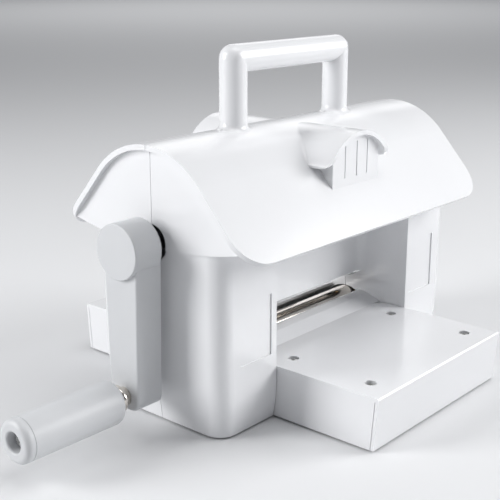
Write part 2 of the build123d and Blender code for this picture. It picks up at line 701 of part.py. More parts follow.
def roof_shell_front():
    outer = under_roof(0) & roof_plan(ROOF_HALF_LENGTH, 0)
    ridge = ROOF_CREST_Z + ROOF_CREST_R

    def is_post_foot(edge):
        middle = edge @ 0.5
        beside_post = abs(abs(middle.X) - HANDLE_X) < HANDLE_R + 1 and abs(middle.Y) < HANDLE_R + 1
        return beside_post and ridge - HANDLE_R < middle.Z < ridge + 1

    crown = outer + handle_bar(HANDLE_R)
    crown = fillet(crown.edges().filter_by(is_post_foot), HANDLE_FILLET_R)
    sheet = crown - under_roof(ROOF_SHEET)
    gable = outer & above_seam(0) & block(-GABLE_X, GABLE_X, -FAR, FAR, 0, FAR)
    inside_x = GABLE_X - WALL
    cavity = under_roof(ROOF_SHEET) & roof_plan(inside_x, ROOF_SHEET) & above_seam(SOFFIT)
    bar_hollow = handle_bar(HANDLE_R - HANDLE_WALL)
    shell = front_half(sheet + gable) + dormer_hood() + dormer_body(0)
    shell = shell - front_half(cavity) - dormer_body(WALL) - bar_hollow
    opening = leg_opening()
    middle = block(-LEG_IN_X, LEG_IN_X, -BRIDGE_HALF_DEPTH + WALL, 0, SEAM_Z - 5, SEAM_Z + 15)
    shell = shell - [opening, right_of(opening), middle]
    for x, y in roof_boss_places():
        if y < 0:
            post = rod_z(SEAM_Z, ROOF_BOSS_Z + ROOF_SCREW_LENGTH + 4, BOSS_R, x, y)
            shell = shell + (post & above_seam(0))
            shell = shell - rod_z(0, ROOF_BOSS_Z + ROOF_SCREW_LENGTH, SCREW_R, x, y)
    shell = shell - window_grooves()
    shell = shell - rod_x(-FAR, -LEG_OUT_X + WALL + 2, HUB_HOLE_R, z=CRANK_Z)
    shell = shell - block(-FAR, FAR, -GROOVE, 0, ridge - GROOVE_DEPTH, ridge + 1)
    for side in SIDES:
        shell = shell - block(side * (GABLE_X - GROOVE_DEPTH), side * FAR, -GROOVE, 0, 0, ridge + 1)
    return shell


def roof_screws():
    return [screw_z(ROOF_BOSS_Z, ROOF_SCREW_LENGTH - 1, x, y, down=False) for x, y in roof_boss_places()]


# --- steel frame --------------------------------------------------------------------------
def bush_hole_r():
    return AXLE_R + BUSH_WALL


def crank_bush_r():
    return CRANK_SHAFT_R + BUSH_WALL


def frame_plate(x0, x1, z0, z1):
    face = Pos(0, (z0 + z1) / 2) * RectangleRounded(2 * FRAME_HALF_DEPTH, z1 - z0, FRAME_CORNER_R)
    return along_x(face, x0, x1)


def tie_places():
    return [(sy * y, z) for y, z in (UPPER_TIE, LOWER_TIE) for sy in SIDES]


def side_frame():
    """Right-hand plate with its foot turned outward."""
    plate = frame_plate(FRAME_IN_X, FRAME_OUT_X, FLOOR_Z, FRAME_TOP_Z)
    foot = block(FRAME_IN_X, FRAME_OUT_X + FOOT_WIDTH, -FRAME_HALF_DEPTH + FRAME_CORNER_R,
                 FRAME_HALF_DEPTH - FRAME_CORNER_R, FLOOR_Z, FLOOR_Z + FRAME_SHEET)
    plate = plate + foot
    for z in (LOWER_AXIS_Z, UPPER_AXIS_Z):
        plate = plate - rod_x(0, FAR, bush_hole_r(), z=z)
    for y, z in tie_places():
        plate = plate - rod_x(0, FAR, TIE_ROD_THREAD_R, y, z)
    for x, y in frame_foot_places():
        plate = plate - rod_z(0, FLOOR_Z + FRAME_SHEET + 1, FRAME_SCREW_R, abs(x), y)
    return plate


def standoff_places():
    return [(sy * STANDOFF_Y, z) for z in STANDOFF_ZS for sy in SIDES]


def left_side_frame():
    plate = right_of(side_frame()) - rod_x(-FAR, 0, crank_bush_r(), z=CRANK_Z)
    for y, z in standoff_places():
        plate = plate - rod_x(-FAR, 0, STANDOFF_R / 2, y, z)
    return plate


def gear_bracket():
    plate = frame_plate(-BRACKET_END_X, -BRACKET_X, BRACKET_FOOT_Z, FRAME_TOP_Z)
    plate = plate - rod_x(-FAR, 0, crank_bush_r(), z=CRANK_Z)
    plate = plate - rod_x(-FAR, 0, DRIVE_TEETH * GEAR_MODULE / 4, z=UPPER_AXIS_Z)
    for y, z in standoff_places():
        plate = plate - rod_x(-FAR, 0, SCREW_R, y, z)
    return plate


def bracket_standoffs():
    posts = []
    for y, z in standoff_places():
        post = rod_x(-BRACKET_X, -FRAME_OUT_X, STANDOFF_R, y, z)
        stud = rod_x(-FRAME_OUT_X, -FRAME_IN_X, STANDOFF_R / 2, y, z)
        hole = rod_x(-BRACKET_X, -BRACKET_X + 8, SCREW_R, y, z)
        posts.append(post + stud - hole)
    return posts


def bracket_screws():
    screws = []
    for y, z in standoff_places():
        shank = rod_x(-BRACKET_END_X, -BRACKET_X + 7, SCREW_R, y, z)
        head = rod_x(-BRACKET_END_X - HEAD, -BRACKET_END_X, HEAD_R, y, z)
        socket = rod_x(-BRACKET_END_X - HEAD, -BRACKET_END_X - HEAD / 2, HEAD_R * 0.45, y, z)
        screws.append(shank + head - socket)
    return screws


def tie_rods():
    rods = []
    for y, z in tie_places():
        rod = rod_x(-FRAME_IN_X, FRAME_IN_X, TIE_ROD_R, y, z)
        thread = rod_x(-FRAME_OUT_X - 4.4, FRAME_OUT_X + 4.4, TIE_ROD_THREAD_R, y, z)
        rods.append(rod + thread)
    return rods


def tie_rod_nuts():
    nuts = []
    hexagon = RegularPolygon(TIE_NUT_R, 6) - Circle(TIE_ROD_THREAD_R)
    for y, z in tie_places():
        nut = Pos(0, y, z) * along_x(hexagon, FRAME_OUT_X, FRAME_OUT_X + 4)
        nuts += [nut, right_of(nut)]
    return nuts


def roller_bush(z):
    """Flanged bush in the right side frame."""
    body = rod_x(FRAME_IN_X, BUSH_END_X, bush_hole_r(), z=z)
    flange = rod_x(BUSH_FACE_X, FRAME_IN_X, BUSH_FLANGE_R, z=z)
    return body + flange - rod_x(0, FAR, AXLE_R + RUNNING_GAP, z=z)


def crank_bush(x_plate, x_end, flange_x):
    """Flanged bush for the crank shaft, in the plate between two faces."""
    body = rod_x(x_plate, x_end, crank_bush_r(), z=CRANK_Z)
    flange = rod_x(x_end, flange_x, crank_bush_r() + 2.5, z=CRANK_Z)
    return body + flange - rod_x(-FAR, 0, CRANK_SHAFT_R + RUNNING_GAP, z=CRANK_Z)


# --- rollers ------------------------------------------------------------------------------
def ring_groove(x, radius):
    """Groove for a retaining ring whose inner side is at x, away from the middle."""
    end = x + math.copysign(RING, x)
    return rod_x(x, end, radius + 5), rod_x(x, end, radius - RING_GROOVE)


def retaining_ring(x, radius, z):
    end = x + math.copysign(RING, x)
    ring = rod_x(x, end, radius + RING_RIM, z=z) - rod_x(x, end, radius - RING_GROOVE, z=z)
    opening = block(x, end, -radius * 0.55, radius * 0.55, z - FAR, z)
    return ring - opening


def axle(x0, x1, z, ring_xs):
    shaft = rod_x(x0, x1, AXLE_R)
    for x in ring_xs:
        outer, inner = ring_groove(x, AXLE_R)
        shaft = shaft - (outer - inner)
    return Pos(0, 0, z) * shaft


def roller_sleeve(z):
    sleeve = rod_x(-ROLLER_END_X, ROLLER_END_X, ROLLER_R)
    ends = sleeve.edges().filter_by(GeomType.CIRCLE)
    sleeve = chamfer(ends, 0.8) - rod_x(-FAR, FAR, AXLE_R)
    return Pos(0, 0, z) * sleeve


def thrust_washers(z):
    """Washers between the roller's ends and the bush flanges."""
    washer = rod_x(ROLLER_END_X, BUSH_FACE_X - THRUST_GAP, AXLE_R + 3, z=z)
    washer = washer - rod_x(0, FAR, AXLE_R, z=z)
    return [washer, right_of(washer)]


UPPER_RINGS = (-DRIVE_END_X, SYNC_END_X)
LOWER_RINGS = (-GEAR_HUB_X, SYNC_END_X)


def upper_roller_axle():
    return axle(-DRIVE_END_X - RING - 1.5, SYNC_END_X + RING + 1.5, UPPER_AXIS_Z, UPPER_RINGS)


def lower_roller_axle():
    return axle(-GEAR_HUB_X - RING - 1.0, SYNC_END_X + RING + 1.5, LOWER_AXIS_Z, LOWER_RINGS)


def drive_gear():
    wheel = gear(DRIVE_TEETH, 90, -DRIVE_END_X, -DRIVE_X, UPPER_AXIS_Z,
                 -DRIVE_END_X, -GEAR_HUB_X, 9.0, AXLE_R)
    middle_r = GEAR_MODULE * DRIVE_TEETH / 4 + 3
    for hole in range(6):
        angle = math.radians(60 * hole)
        y = middle_r * math.cos(angle)
        z = UPPER_AXIS_Z + middle_r * math.sin(angle)
        wheel = wheel - rod_x(-FAR, 0, 7.0, y, z)
    return wheel


def sync_gear(z, first_tooth):
    return gear(SYNC_TEETH, first_tooth, SYNC_X, SYNC_END_X, z, GEAR_HUB_X, SYNC_END_X, 9.0, AXLE_R)


# --- crank --------------------------------------------------------------------------------
CRANK_BUSH_OUT_X = -BRACKET_END_X - BUSH_FLANGE
CRANK_RING_X = CRANK_BUSH_OUT_X - THRUST_GAP
PINION_HUB_X = -(FRAME_OUT_X + BUSH_FLANGE + THRUST_GAP)


def crank_shaft():
    shaft = rod_x(HUB_BACK_X - 1.0, -FRAME_IN_X, CRANK_SHAFT_R)
    square = block(HUB_BACK_X - SQUARE_DEPTH, HUB_BACK_X - 1.0, -CRANK_SQUARE / 2, CRANK_SQUARE / 2,
                   -CRANK_SQUARE / 2, CRANK_SQUARE / 2)
    outer, inner = ring_groove(CRANK_RING_X, CRANK_SHAFT_R)
    shaft = shaft + square - (outer - inner)
    shaft = shaft - rod_x(HUB_BACK_X - SQUARE_DEPTH, HUB_BACK_X, FRAME_SCREW_R)
    return Pos(0, 0, CRANK_Z) * shaft


def crank_pinion():
    return gear(PINION_TEETH, 270 + 180 / PINION_TEETH, -DRIVE_END_X, -DRIVE_X, CRANK_Z,
                -DRIVE_END_X, PINION_HUB_X, 9.0, CRANK_SHAFT_R)


def crank_arm():
    """Hub and arm in one moulding, hanging straight down at rest."""
    top = ARM_TOP_WIDTH / 2
    tip = ARM_TIP_WIDTH / 2
    face = outline(
        Line((-top, CRANK_Z), (top, CRANK_Z)),
        Line((top, CRANK_Z), (tip, ARM_TIP_Z)),
        Line((tip, ARM_TIP_Z), (-tip, ARM_TIP_Z)),
        Line((-tip, ARM_TIP_Z), (-top, CRANK_Z)),
    )
    arm = along_x(face, HUB_FACE_X, ARM_BACK_X)
    tips = arm.edges().filter_by(Axis.X).filter_by(lambda e: e.center().Z < ARM_TIP_Z + 1)
    arm = fillet(tips, ARM_TIP_R)
    rims = arm.edges().filter_by(lambda e: abs(e.center().X - HUB_FACE_X) < 0.01 and (e @ 0.5).Z < CRANK_Z - 1)
    arm = fillet(rims, ARM_EDGE_R)
    hub = rod_x(HUB_BACK_X, HUB_FACE_X, HUB_R, z=CRANK_Z)
    arm = arm + hub
    half = CRANK_SQUARE / 2
    arm = arm - block(HUB_BACK_X - SQUARE_DEPTH, HUB_BACK_X - 1.0, -half, half, CRANK_Z - half, CRANK_Z + half)
    arm = arm - rod_x(HUB_BACK_X - 1.0, ARM_BACK_X + 1, CRANK_SHAFT_R, z=CRANK_Z)
    arm = arm - rod_x(HUB_BACK_X - SQUARE_DEPTH + 1, HUB_FACE_X - 1, FRAME_SCREW_R + 0.2, z=CRANK_Z)
    arm = arm - rod_x(HUB_BACK_X - SQUARE_DEPTH - 2.0, HUB_FACE_X - 1, 7.0, z=CRANK_Z)
    return arm - rod_x(HUB_FACE_X + SPINDLE_DEPTH, HUB_FACE_X - 1, SPINDLE_R, z=GRIP_Z)


def crank_hub_cap():
    cap = rod_x(HUB_FACE_X - HUB_CAP, HUB_FACE_X, HUB_R)
    rim = cap.edges().filter_by(GeomType.CIRCLE).sort_by(Axis.X)[0]
    cap = fillet(rim, 0.8)
    spigot = rod_x(HUB_FACE_X, HUB_FACE_X + 2.0, 7.0) - rod_x(HUB_FACE_X, HUB_FACE_X + 2.0, 5.5)
    return Pos(0, 0, CRANK_Z) * (cap + spigot)


def crank_screw():
    seat = HUB_BACK_X - SQUARE_DEPTH - 2.0
    shank = rod_x(seat, HUB_BACK_X - 2, FRAME_SCREW_R, z=CRANK_Z)
    head = rod_x(seat - 2.4, seat, 4.4, z=CRANK_Z)
    return shank + head - rod_x(seat - 2.4, seat - 1, 1.8, z=CRANK_Z)


def grip_spindle():
    """Steel pin riveted in the arm, with a collar the grip bears on."""
    inner_end = HUB_FACE_X + SPINDLE_DEPTH
    outer_end = GRIP_INNER_X - GRIP_LENGTH + GRIP_RECESS_DEPTH - THRUST_GAP
    pin = rod_x(outer_end, inner_end, SPINDLE_R)
    collar_x = HUB_FACE_X - COLLAR_GAP
    collar = rod_x(collar_x - COLLAR, collar_x, COLLAR_R)
    collar = fillet(collar.edges().filter_by(GeomType.CIRCLE), COLLAR_EDGE_R)
    neck = rod_x(GRIP_INNER_X + THRUST_GAP, HUB_FACE_X, NECK_R)
    pin = pin + collar + neck - rod_x(outer_end, outer_end + 12, FRAME_SCREW_R)
    return Pos(0, 0, GRIP_Z) * pin


def grip_washer():
    x = GRIP_INNER_X - GRIP_LENGTH + GRIP_RECESS_DEPTH - THRUST_GAP
    ring = rod_x(x - 1.2, x, GRIP_RECESS_R - 0.5) - rod_x(x - 1.2, x, FRAME_SCREW_R)
    return Pos(0, 0, GRIP_Z) * ring


def grip_screw():
    seat = GRIP_INNER_X - GRIP_LENGTH + GRIP_RECESS_DEPTH - THRUST_GAP - 1.2
    shank = rod_x(seat, seat + 11, FRAME_SCREW_R)
    head = rod_x(seat - 2.4, seat, 4.0) - rod_x(seat - 2.4, seat - 1, 1.8)
    return Pos(0, 0, GRIP_Z) * (shank + head)


def grip():
    """Moulded sleeve that turns on the spindle."""
    inner = (GRIP_INNER_X, GRIP_INNER_R)
    outer = (GRIP_INNER_X - GRIP_LENGTH, GRIP_OUTER_R)
    sleeve = loft([Plane.YZ.offset(outer[0]) * Circle(outer[1]), Plane.YZ.offset(inner[0]) * Circle(inner[1])])
    sleeve = fillet(sleeve.edges().filter_by(GeomType.CIRCLE), GRIP_END_R)
    groove_x = outer[0] + GRIP_GROOVE_FROM_END
    groove = rod_x(groove_x - 0.4, groove_x + 0.4, 20) - rod_x(groove_x - 1, groove_x + 1, GRIP_OUTER_R - 0.2)
    sleeve = sleeve - groove - rod_x(-FAR, 0, SPINDLE_R + RUNNING_GAP + 0.03)
    recess = rod_x(outer[0] - 1, outer[0] + GRIP_RECESS_DEPTH, GRIP_RECESS_R)
    sleeve = sleeve - recess
    mouth = sleeve.edges().filter_by(GeomType.CIRCLE).filter_by(
        lambda e: abs(e.radius - GRIP_RECESS_R) < 0.01 and e.center().X < outer[0] + 0.1)
    sleeve = fillet(mouth, 1.4)
    return Pos(0, 0, GRIP_Z) * sleeve


# --- the assembly -------------------------------------------------------------------------
def build():
    nodes = {}
    housing_front = over_base(lower_housing_front())
    housing_rear = rear_of(housing_front)
    housing_front, housing_rear = housing_screw_holes(housing_front, housing_rear)
    nodes["lower_housing_front"] = housing_front
    nodes["lower_housing_rear"] = housing_rear
    roof = roof_shell_front()
    nodes["roof_shell_front"] = roof
    nodes["roof_shell_rear"] = rear_of(roof)
    table = over_base(table_cover())
    nodes["front_table_cover"] = table
    nodes["rear_table_cover"] = rear_of(table)
    fascia = table_fascia()
    nodes["front_table_fascia"] = fascia
    nodes["rear_table_fascia"] = rear_of(fascia)
    nodes["front_table_screws"] = table_screws()
    nodes["rear_table_screws"] = [rear_of(screw) for screw in table_screws()]
    nodes["base_plate"] = base_plate()
    nodes["base_mat"] = base_mat()
    nodes["base_screws"] = base_screws()
    nodes["roof_screws"] = roof_screws()
    nodes["housing_screws"] = housing_screws()
    nodes["left_side_frame"] = left_side_frame()
    nodes["right_side_frame"] = side_frame()
    nodes["frame_foot_screws"] = frame_foot_screws()
    nodes["gear_bracket"] = gear_bracket()
    nodes["bracket_standoffs"] = bracket_standoffs()
    nodes["bracket_screws"] = bracket_screws()
    nodes["tie_rods"] = tie_rods()
    nodes["tie_rod_nuts"] = tie_rod_nuts()
    for name, z in (("upper", UPPER_AXIS_Z), ("lower", LOWER_AXIS_Z)):
        bush = roller_bush(z)
        nodes[name + "_bush_right"] = bush
        nodes[name + "_bush_left"] = right_of(bush)
        nodes[name + "_roller"] = roller_sleeve(z)
        nodes[name + "_thrust_washers"] = thrust_washers(z)
    nodes["crank_bush_inner"] = crank_bush(-FRAME_IN_X, -FRAME_OUT_X, -FRAME_OUT_X - BUSH_FLANGE)
    nodes["crank_bush_outer"] = crank_bush(-BRACKET_X, -BRACKET_END_X, CRANK_BUSH_OUT_X)
    nodes["upper_roller_axle"] = upper_roller_axle()
    nodes["lower_roller_axle"] = lower_roller_axle()
    nodes["drive_gear"] = drive_gear()
    nodes["upper_sync_gear"] = sync_gear(UPPER_AXIS_Z, 270 + 180 / SYNC_TEETH)
    nodes["lower_sync_gear"] = sync_gear(LOWER_AXIS_Z, 90)
    nodes["upper_retaining_rings"] = [retaining_ring(x, AXLE_R, UPPER_AXIS_Z) for x in UPPER_RINGS]
    nodes["lower_retaining_rings"] = [retaining_ring(x, AXLE_R, LOWER_AXIS_Z) for x in LOWER_RINGS]
    nodes["crank_shaft"] = crank_shaft()
    nodes["crank_pinion"] = crank_pinion()
    nodes["crank_retaining_ring"] = retaining_ring(CRANK_RING_X, CRANK_SHAFT_R, CRANK_Z)
    nodes["crank_arm"] = crank_arm()
    nodes["crank_hub_cap"] = crank_hub_cap()
    nodes["crank_screw"] = crank_screw()
    nodes["grip_spindle"] = grip_spindle()
    nodes["grip_washer"] = grip_washer()
    nodes["grip_screw"] = grip_screw()
    nodes["grip"] = grip()
    return nodes


def write(nodes):
    os.makedirs("parts", exist_ok=True)
    for name, shape in nodes.items():
        solids = shape if isinstance(shape, list) else [shape]
        pieces = [solid for item in solids for solid in item.solids()]
        whole = pieces[0] if len(pieces) == 1 else Compound(children=pieces)
        whole.label = name
        export_step(whole, "parts/" + name + ".step")


write(build())
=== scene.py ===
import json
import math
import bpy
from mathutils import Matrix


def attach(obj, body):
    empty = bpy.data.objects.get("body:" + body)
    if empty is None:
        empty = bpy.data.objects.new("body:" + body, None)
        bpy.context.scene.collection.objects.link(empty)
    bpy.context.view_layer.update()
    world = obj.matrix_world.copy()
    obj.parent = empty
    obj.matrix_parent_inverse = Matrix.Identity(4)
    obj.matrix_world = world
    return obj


bl_info = {
    "name": "Die Cutting Machine Finishes",
    "version": (1, 0, 0),
    "blender": (4, 5, 0),
    "location": "View3D > Sidebar > Die Cutter",
    "description": "Finishes, soft blends and studio for a hand-cranked die cutting machine",
    "category": "Object",
}

import bpy
from mathutils import Vector

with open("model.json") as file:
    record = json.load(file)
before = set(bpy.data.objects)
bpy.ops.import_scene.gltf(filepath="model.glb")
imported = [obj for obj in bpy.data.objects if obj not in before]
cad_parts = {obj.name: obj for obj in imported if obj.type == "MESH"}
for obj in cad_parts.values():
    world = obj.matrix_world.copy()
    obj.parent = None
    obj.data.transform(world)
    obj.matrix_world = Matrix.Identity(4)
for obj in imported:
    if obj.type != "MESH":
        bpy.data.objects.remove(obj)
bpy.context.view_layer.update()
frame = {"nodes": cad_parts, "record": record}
NODES = frame["nodes"]
SLOT_OF_NODE = {part["node"]: part["material_slot"] for part in frame["record"]["subparts"]}


# --- shader expressions -------------------------------------------------------------------


class Signal:
    """One shader socket. Arithmetic on it adds Math nodes to the material."""

    def __init__(self, finish, socket):
        self.finish = finish
        self.socket = socket

    def maths(self, operation, first, second):
        return self.finish.node("ShaderNodeMath", {"operation": operation}, {0: first, 1: second})

    def __add__(self, other):
        return self.maths("ADD", self, other)

    def __radd__(self, other):
        return self.maths("ADD", other, self)

    def __mul__(self, other):
        return self.maths("MULTIPLY", self, other)

    def __rmul__(self, other):
        return self.maths("MULTIPLY", other, self)


class Finish:
    """One surface finish: a material with a Principled shader, and the ways to feed it."""

    def __init__(self, name, colour, roughness, metallic=0.0, coat=0.0):
        self.material = bpy.data.materials.new(name)
        self.material.use_nodes = True
        self.tree = self.material.node_tree
        self.shader = self.tree.nodes["Principled BSDF"]
        self.shader.inputs["Base Color"].default_value = (*colour, 1.0)
        self.shader.inputs["Roughness"].default_value = roughness
        self.shader.inputs["Metallic"].default_value = metallic
        self.shader.inputs["Coat Weight"].default_value = coat
        self.material.diffuse_color = (*colour, 1.0)
        self.place = self.node("ShaderNodeTexCoord", {}, {}, "Object")

    def node(self, kind, settings, sockets, output=0):
        """Adds any node: its settings first, then the values or links of its sockets."""
        made = self.tree.nodes.new(kind)
        for name, value in settings.items():
            setattr(made, name, value)
        for name, value in sockets.items():
            if isinstance(value, Signal):
                self.tree.links.new(value.socket, made.inputs[name])
            else:
                made.inputs[name].default_value = value
        return Signal(self, made.outputs[output])

    def feed(self, name, signal):
        """Links a signal to an input of the Principled shader."""
        self.tree.links.new(signal.socket, self.shader.inputs[name])

    def stretched(self, scale):
        """The object's coordinates with their own scale on each axis."""
        return self.node("ShaderNodeMapping", {}, {"Vector": self.place, "Scale": scale})

    def noise(self, scale, detail=2.0, place=None):
        return self.node(
            "ShaderNodeTexNoise",
            {},
            {"Vector": place or self.place, "Scale": scale, "Detail": detail},
        )

    def cells(self, scale):
        return self.node(
            "ShaderNodeTexVoronoi", {}, {"Vector": self.place, "Scale": scale}, "Distance"
        )

    def tinted(self, mask, low, high):
        """Colour that goes from low to high with the mask."""
        colour = self.node(
            "ShaderNodeMix",
            {"data_type": "RGBA"},
            {0: mask, 6: (*low, 1.0), 7: (*high, 1.0)},
            2,
        )
        self.feed("Base Color", colour)

    def rough(self, mask, low, high):
        """Roughness that goes from low to high with the mask."""
        self.feed("Roughness", low + mask * (high - low))

    def bumps(self, layers):
        """Bump nodes in a chain: each layer is a height from 0 to 1 and its depth in metres."""
        normal = None
        for height, depth in layers:
            sockets = {"Height": height, "Strength": 1.0, "Distance": depth}
            if normal:
                sockets["Normal"] = normal
            normal = self.node("ShaderNodeBump", {}, sockets)
        self.feed("Normal", normal)


def shaded(colour, factor):
    """The colour made darker or lighter by a factor."""
    return tuple(min(1.0, channel * factor) for channel in colour)


# --- finishes -----------------------------------------------------------------------------


def moulded_white(colours, sizes):
    """Glossy white ABS: slight sink waves, a very fine tool texture and faint tone changes."""
    white = colours.white_plastic
    finish = Finish("moulded_white_abs", white, 0.24, coat=0.2)
    finish.shader.inputs["Coat Roughness"].default_value = 0.14
    finish.shader.inputs["IOR"].default_value = 1.52
    broad = finish.noise(14.0, 1.0)
    cloudy = finish.noise(70.0, 3.0)
    fine = finish.noise(1.0 / sizes.tool_texture, 1.0)
    finish.tinted(broad * 0.6 + cloudy * 0.4, shaded(white, 0.985), shaded(white, 1.01))
    finish.rough(broad * 0.5 + fine * 0.5, 0.2, 0.3)
    finish.bumps([(broad, sizes.sink_depth), (fine, sizes.tool_texture_depth)])
    return finish.material


def moulded_grey(colours, sizes):
    """Satin light grey plastic of the crank, with a fine spark-eroded grain."""
    grey = colours.grey_plastic
    finish = Finish("moulded_grey_satin", grey, 0.4)
    grain = finish.noise(1.0 / sizes.grey_grain, 2.0)
    cloudy = finish.noise(45.0, 2.0)
    finish.tinted(cloudy, shaded(grey, 0.97), shaded(grey, 1.02))
    finish.rough(grain * 0.5 + cloudy * 0.5, 0.34, 0.48)
    finish.bumps([(grain, sizes.grey_grain_depth)])
    return finish.material


def ground_steel(colours, sizes):
    """Ground and polished steel: fine rings round the X axis and soft wipe marks."""
    steel = colours.polished_steel
    finish = Finish("ground_polished_steel", steel, 0.14, metallic=1.0)
    rings = finish.noise(1.0, 2.0, finish.stretched((sizes.grinding_lines, 12.0, 12.0)))
    wipes = finish.noise(1.0, 3.0, finish.stretched((25.0, 160.0, 160.0)))
    finish.tinted(wipes, shaded(steel, 0.94), shaded(steel, 1.04))
    finish.rough(rings * 0.6 + wipes * 0.4, 0.08, 0.22)
    finish.bumps([(rings, sizes.grinding_depth)])
    return finish.material


def plated_sheet(colours, sizes):
    """Zinc-plated steel sheet: rolled streaks and a faint spangle."""
    steel = colours.frame_steel
    finish = Finish("zinc_plated_sheet", steel, 0.38, metallic=1.0)
    spangle = finish.cells(180.0)
    streaks = finish.noise(1.0, 3.0, finish.stretched((40.0, 40.0, 900.0)))
    finish.tinted(spangle, shaded(steel, 0.92), shaded(steel, 1.06))
    finish.rough(spangle * 0.4 + streaks * 0.6, 0.28, 0.5)
    finish.bumps([(streaks, 0.00001)])
    return finish.material


def cut_gear_steel(colours, sizes):
    """Oiled cut steel of the gears, shafts and axles, with turning marks across X."""
    steel = colours.gear_steel
    finish = Finish("oiled_cut_steel", steel, 0.32, metallic=1.0)
    marks = finish.noise(1.0, 2.0, finish.stretched((3000.0, 30.0, 30.0)))
    oil = finish.noise(60.0, 4.0)
    finish.tinted(oil, shaded(steel, 0.85), shaded(steel, 1.08))
    finish.rough(marks * 0.5 + oil * 0.5, 0.2, 0.45)
    finish.bumps([(marks, 0.000015)])
    return finish.material


def dark_spring_steel(colours, sizes):
    """Phosphated spring steel of the rings and washers."""
    steel = colours.ring_steel
    finish = Finish("phosphated_spring_steel", steel, 0.5, metallic=0.9)
    crystals = finish.noise(5000.0, 3.0)
    finish.tinted(crystals, shaded(steel, 0.75), shaded(steel, 1.25))
    finish.rough(crystals, 0.42, 0.62)
    finish.bumps([(crystals, 0.00001)])
    return finish.material


def plated_screws(colours, sizes):
    """Bright zinc-plated screws and nuts, with light handling marks."""
    steel = colours.screw_steel
    finish = Finish("bright_plated_screws", steel, 0.26, metallic=1.0)
    marks = finish.noise(900.0, 4.0)
    finish.tinted(marks, shaded(steel, 0.9), shaded(steel, 1.05))
    finish.rough(marks, 0.18, 0.4)
    finish.bumps([(marks, 0.00001)])
    return finish.material


def sintered_bronze(colours, sizes):
    """Oil-filled sintered bronze bushes: fine open pores."""
    bronze = colours.bush_bronze
    finish = Finish("sintered_bronze", bronze, 0.4, metallic=1.0)
    pores = finish.cells(3500.0)
    cloudy = finish.noise(150.0, 3.0)
    finish.tinted(cloudy, shaded(bronze, 0.82), shaded(bronze, 1.1))
    finish.rough(pores, 0.3, 0.52)
    finish.bumps([(pores, 0.00002)])
    return finish.material


def ribbed_rubber(colours, sizes):
    """Matt black rubber mat with a crossed rib pattern."""
    rubber = colours.mat_rubber
    finish = Finish("ribbed_rubber", rubber, 0.75)
    spots = finish.noise(2500.0, 3.0)
    one_way, other_way = (
        finish.node(
            "ShaderNodeTexWave",
            {"wave_type": "BANDS", "bands_direction": "DIAGONAL"},
            {"Vector": place, "Scale": 60.0},
            "Fac",
        )
        for place in (finish.place, finish.stretched((-1.0, 1.0, 1.0)))
    )
    finish.tinted(spots, shaded(rubber, 0.8), shaded(rubber, 1.5))
    finish.rough(spots, 0.65, 0.88)
    finish.bumps([(one_way * other_way, 0.0003), (spots, 0.00003)])
    return finish.material


MAKERS = {
    "white_plastic": moulded_white,
    "grey_plastic": moulded_grey,
    "polished_steel": ground_steel,
    "frame_steel": plated_sheet,
    "gear_steel": cut_gear_steel,
    "ring_steel": dark_spring_steel,
    "screw_steel": plated_screws,
    "bush_bronze": sintered_bronze,
    "mat_rubber": ribbed_rubber,
}


def finish_nodes(slot, context):
    """Makes one finish and gives it to every CAD node of that slot."""
    material = MAKERS[slot](context.scene.cutter_colours, context.scene.cutter_finish_sizes)
    for node, its_slot in SLOT_OF_NODE.items():
        if its_slot == slot:
            for material_slot in NODES[node].material_slots:
                material_slot.material = material


# --- soft blends round the dormers --------------------------------------------------------


ARC_SHARE = 0.85  # up to this share of the way round, the blend's skin is its visible hollow
UNDER_ROOF = 0.925  # then it lies under the roof's skin as far as this, and past it inside the hood
SEAM = 0.975  # past this it is back at its start
ROUNDING = 0.0001
FADED_SIZE = 0.2  # the blend's radius at its low end, as a share of its full radius
MERGE_DISTANCE = 0.000005
SMOOTH_ANGLE = math.radians(35)


def roof_height(y, roof):
    """Height of the roof's outside at a distance y from the ridge line."""
    crest = roof.crest_radius
    bend_y = crest * math.sin(roof.pitch)
    if y < bend_y:
        return roof.crest_centre + math.sqrt(crest ** 2 - y ** 2)
    bend_z = roof.crest_centre + crest * math.cos(roof.pitch)
    return bend_z - (y - bend_y) * math.tan(roof.pitch)


def blend_section(y, roof):
    """Section of the blend at one y: its centre's x and z, its radius and the hood centre's z."""
    fade = min(1.0, max(0.0, (roof.blend_end - y) / roof.blend_fade))
    radius = roof.blend_radius * (FADED_SIZE + (1.0 - FADED_SIZE) * fade)
    hood_z = roof.hood_top - roof.hood_radius
    z = roof_height(y, roof) + radius
    reach = (roof.hood_radius + radius) ** 2 - (z - hood_z) ** 2
    return math.sqrt(max(reach, 0.0)), z, radius, hood_z


def blend_point(around, along, roof):
    """Place on the blend's closed skin: around goes over the hollow and back inside the plastic,
    and along goes down the roof."""
    y = roof.blend_start + (roof.blend_end - roof.blend_start) * along
    x, z, radius, hood_z = blend_section(y, roof)
    if around > SEAM:
        around = 0.0
    if around < ARC_SHARE + ROUNDING:
        first = math.atan2(hood_z - z, -x)
        last = -math.pi / 2
        if first > 0:
            first -= 2 * math.pi
        angle = first + (last - first) * (around / ARC_SHARE)
        return Vector((x + radius * math.cos(angle), -y, z + radius * math.sin(angle)))
    sunk = roof.blend_sunk
    if around < UNDER_ROOF:
        return Vector((x, -y, z - radius - sunk))
    inside = (roof.hood_radius - sunk) / (roof.hood_radius + radius)
    return Vector((x * inside, -y, min(hood_z + (z - hood_z) * inside, z - radius - sunk / 2)))


